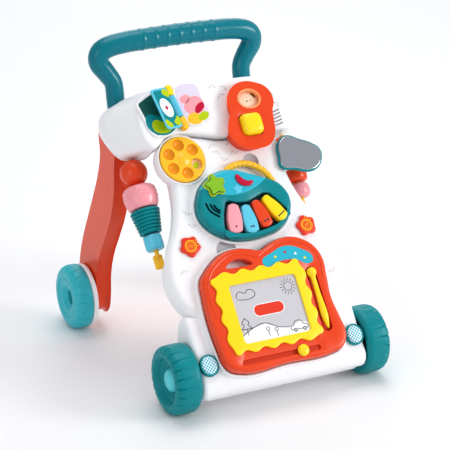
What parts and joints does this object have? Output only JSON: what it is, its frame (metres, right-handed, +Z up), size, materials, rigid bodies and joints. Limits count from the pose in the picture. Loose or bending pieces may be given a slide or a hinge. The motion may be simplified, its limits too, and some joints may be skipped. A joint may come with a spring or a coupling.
{
  "type": "baby walker",
  "caption": "Push-along baby walker on rolling wheels with a sloping activity panel: lift-off piano, lift-off drawing board, flip book, mirror and spinning beads.",
  "frame": {"origin": "on the floor under the middle of the walker's bounding box", "axes": "+Z up; the activity panel faces -Y and slopes up towards +Y; +X is to the right seen from the front, along the wheel axles"},
  "size_m": [0.34, 0.4284, 0.45],
  "materials": {
    "white_body": "glossy",
    "teal_handle": "glossy",
    "teal_wheel": "satin",
    "light_teal": "satin",
    "cyan": "glossy",
    "orange": "glossy",
    "light_blue": "glossy",
    "yellow": "glossy",
    "amber": "glossy",
    "pink": "glossy",
    "green": "glossy",
    "red": "glossy",
    "grey_screen": "satin",
    "printed": "glossy",
    "mirror_film": "polished",
    "steel": "satin",
    "black": "satin"
  },
  "bodies": {
    "chassis": {"panel_shell": "white_body", "hip_cover": "white_body", "waist_cover": "white_body", "head_front": "white_body", "head_back": "white_body", "base_shell": "white_body", "base_cover": "white_body", "handle": "teal_handle", "rear_leg_left": "orange", "rear_leg_right": "orange", "rod_left": "yellow", "rod_right": "yellow", "front_axle": "steel", "rear_axle_left": "steel", "rear_axle_right": "steel", "badge_left": "red", "badge_right": "red", "headlight_left": "cyan", "headlight_right": "cyan", "cup_wheel_pin": "amber", "book_page_left": "printed", "book_page_right": "printed", "book_hinge": "yellow", "dial_housing": "orange"},
    "front_wheel_left": {"front_tyre_left": "teal_wheel", "front_cap_left": "cyan"},
    "front_wheel_right": {"front_tyre_right": "teal_wheel", "front_cap_right": "cyan"},
    "rear_wheel_left": {"rear_tyre_left": "light_teal", "rear_disc_left": "white_body"},
    "rear_wheel_right": {"rear_tyre_right": "light_teal", "rear_disc_right": "white_body"},
    "flip_page": {"book_flip_page": "printed"},
    "cup_disc": {"cup_wheel": "amber"},
    "dial": {"picture_dial": "pink"},
    "paddle": {"press_paddle": "yellow"},
    "piano": {"piano_shell": "teal_handle", "piano_back": "teal_handle", "piano_handle": "amber", "speaker": "black", "circuit_board": "green"},
    "key_a": {"key_1": "pink"},
    "key_b": {"key_2": "light_blue"},
    "key_c": {"key_3": "orange"},
    "key_d": {"key_4": "yellow"},
    "star": {"star_button": "green"},
    "board": {"board_frame": "orange", "board_back": "orange", "board_bezel": "yellow", "board_screen": "grey_screen"},
    "eraser": {"eraser_knob": "yellow"},
    "pen_body": {"pen": "yellow"},
    "ball": {"bead_ball": "orange"},
    "barrel": {"bead_barrel": "pink"},
    "cone": {"bead_cone": "teal_handle"},
    "nut": {"bead_nut": "light_blue"},
    "mirror": {"mirror_frame": "teal_handle", "mirror_plate": "mirror_film"},
    "orange_ring": {"ring_orange": "orange"},
    "pink_ring": {"ring_pink": "pink"}
  },
  "joints": [
    {"name": "front_roll_left", "type": "hinge", "parent": "chassis", "child": "front_wheel_left", "pos_m": [-0.1455, -0.1581, 0.0477], "axis": [1, 0, 0], "continuous": true},
    {"name": "rear_roll_left", "type": "hinge", "parent": "chassis", "child": "rear_wheel_left", "pos_m": [-0.153, 0.1665, 0.0477], "axis": [1, 0, 0], "continuous": true},
    {"name": "front_roll_right", "type": "hinge", "parent": "chassis", "child": "front_wheel_right", "pos_m": [0.1455, -0.1581, 0.0477], "axis": [1, 0, 0], "continuous": true},
    {"name": "rear_roll_right", "type": "hinge", "parent": "chassis", "child": "rear_wheel_right", "pos_m": [0.153, 0.1665, 0.0477], "axis": [1, 0, 0], "continuous": true},
    {"name": "page_turn", "type": "hinge", "parent": "chassis", "child": "flip_page", "pos_m": [-0.056, 0.02243, 0.36608], "axis": [-0.1544, 0.6083, 0.7786], "range_deg": [-18, 150]},
    {"name": "cup_spin", "type": "hinge", "parent": "chassis", "child": "cup_disc", "pos_m": [-0.0645, -0.01384, 0.30114], "axis": [0, -0.788, 0.6157], "continuous": true},
    {"name": "dial_turn", "type": "hinge", "parent": "chassis", "child": "dial", "pos_m": [0.0525, 0.01969, 0.35997], "axis": [0, -0.788, 0.6157], "range_deg": [-16, 16]},
    {"name": "paddle_press", "type": "hinge", "parent": "chassis", "child": "paddle", "pos_m": [0.0445, 0.00314, 0.34562], "axis": [1, 0, 0], "range_deg": [0, 4], "stiffness_Nm_per_rad": 0.6, "springref_deg": -2.86},
    {"name": "piano_lift", "type": "slide", "parent": "chassis", "child": "piano", "axis": [0, -0.788, 0.6157], "range_m": [0, 0.06]},
    {"name": "key_a_press", "type": "hinge", "parent": "piano", "child": "key_a", "pos_m": [-0.017, -0.06877, 0.24318], "axis": [0.9848, -0.1069, -0.1368], "range_deg": [0, 5], "stiffness_Nm_per_rad": 0.3, "springref_deg": -2.86},
    {"name": "key_b_press", "type": "hinge", "parent": "piano", "child": "key_b", "pos_m": [0.0003, -0.07123, 0.24002], "axis": [0.9994, 0.0215, 0.0275], "range_deg": [0, 5], "stiffness_Nm_per_rad": 0.3, "springref_deg": -2.86},
    {"name": "key_c_press", "type": "hinge", "parent": "piano", "child": "key_c", "pos_m": [0.0162, -0.06877, 0.24318], "axis": [0.9659, 0.1593, 0.204], "range_deg": [0, 5], "stiffness_Nm_per_rad": 0.3, "springref_deg": -2.86},
    {"name": "key_d_press", "type": "hinge", "parent": "piano", "child": "key_d", "pos_m": [0.0325, -0.06661, 0.24593], "axis": [0.8572, 0.3171, 0.4059], "range_deg": [0, 5], "stiffness_Nm_per_rad": 0.3, "springref_deg": -2.86},
    {"name": "star_press", "type": "slide", "parent": "piano", "child": "star", "axis": [0, 0.788, -0.6157], "range_m": [0, 0.0018], "stiffness_N_per_m": 250, "springref_m": -0.0005},
    {"name": "board_lift", "type": "slide", "parent": "chassis", "child": "board", "axis": [0, -0.788, 0.6157], "range_m": [0, 0.06]},
    {"name": "eraser_slide", "type": "slide", "parent": "board", "child": "eraser", "axis": [1, 0, 0], "range_m": [-0.086, 0.022]},
    {"name": "pen_lift", "type": "slide", "parent": "board", "child": "pen_body", "axis": [0, -0.788, 0.6157], "range_m": [0, 0.04]},
    {"name": "ball_spin", "type": "hinge", "parent": "chassis", "child": "ball", "pos_m": [-0.12, 0.02648, 0.27738], "axis": [0, 0.6157, 0.788], "continuous": true},
    {"name": "barrel_spin", "type": "hinge", "parent": "chassis", "child": "barrel", "pos_m": [-0.12, 0.00364, 0.24815], "axis": [0, 0.6157, 0.788], "continuous": true},
    {"name": "cone_spin", "type": "hinge", "parent": "chassis", "child": "cone", "pos_m": [-0.12, -0.01821, 0.22017], "axis": [0, 0.6157, 0.788], "continuous": true},
    {"name": "nut_spin", "type": "hinge", "parent": "chassis", "child": "nut", "pos_m": [-0.12, -0.03668, 0.19653], "axis": [0, 0.6157, 0.788], "continuous": true},
    {"name": "orange_ring_spin", "type": "hinge", "parent": "chassis", "child": "orange_ring", "pos_m": [0.12, -0.00036, 0.24303], "axis": [0, 0.6157, 0.788], "continuous": true},
    {"name": "pink_ring_spin", "type": "hinge", "parent": "chassis", "child": "pink_ring", "pos_m": [0.12, -0.01421, 0.2253], "axis": [0, 0.6157, 0.788], "continuous": true},
    {"name": "mirror_turn", "type": "hinge", "parent": "chassis", "child": "mirror", "pos_m": [0.12, 0.01442, 0.26194], "axis": [0, 0.6157, 0.788], "range_deg": [0, 60]}
  ]
}
